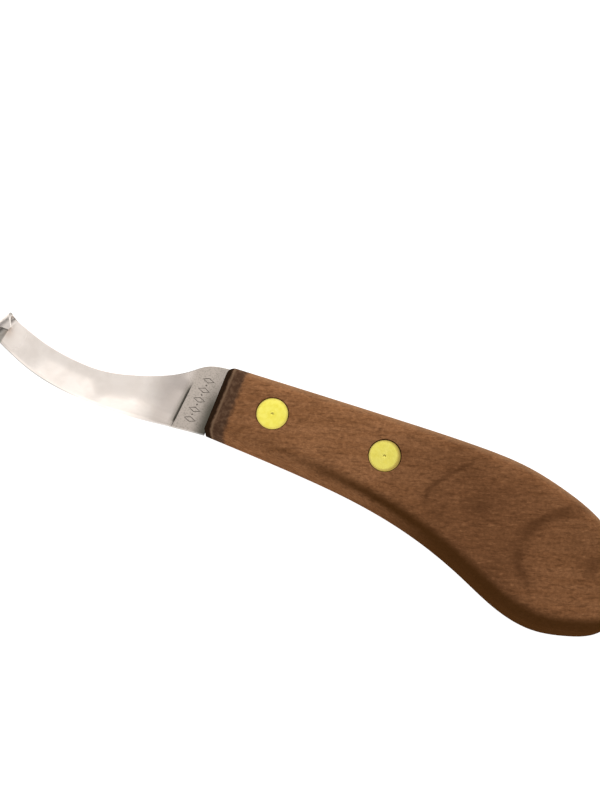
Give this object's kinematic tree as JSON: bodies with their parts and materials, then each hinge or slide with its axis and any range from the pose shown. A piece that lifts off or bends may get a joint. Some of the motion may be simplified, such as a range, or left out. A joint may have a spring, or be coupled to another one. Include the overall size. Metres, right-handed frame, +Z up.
{
  "type": "hoof knife",
  "caption": "Fixed hoof knife: a thin swept blade that curls over into a small hook at its tip, its tang riveted inside a slotted wooden handle with a curved palm swell.",
  "frame": {"origin": "middle of the knife's box in plan, on the flat surface that the handle lies on", "axes": "+X along the knife from the hook to the butt of the handle, +Y across it from the cutting edge to the spine, +Z up from the surface it lies on, the way the hook curls"},
  "size_m": [0.2022, 0.0436, 0.0204],
  "materials": {
    "polished_steel": "polished, with faint lengthwise grinding lines",
    "walnut": "satin oiled walnut",
    "brass": "satin turned"
  },
  "bodies": {
    "root": {"blade": "polished_steel", "handle": "walnut", "front_rivet_post": "brass", "front_rivet_sleeve": "brass", "rear_rivet_post": "brass", "rear_rivet_sleeve": "brass"}
  },
  "joints": []
}
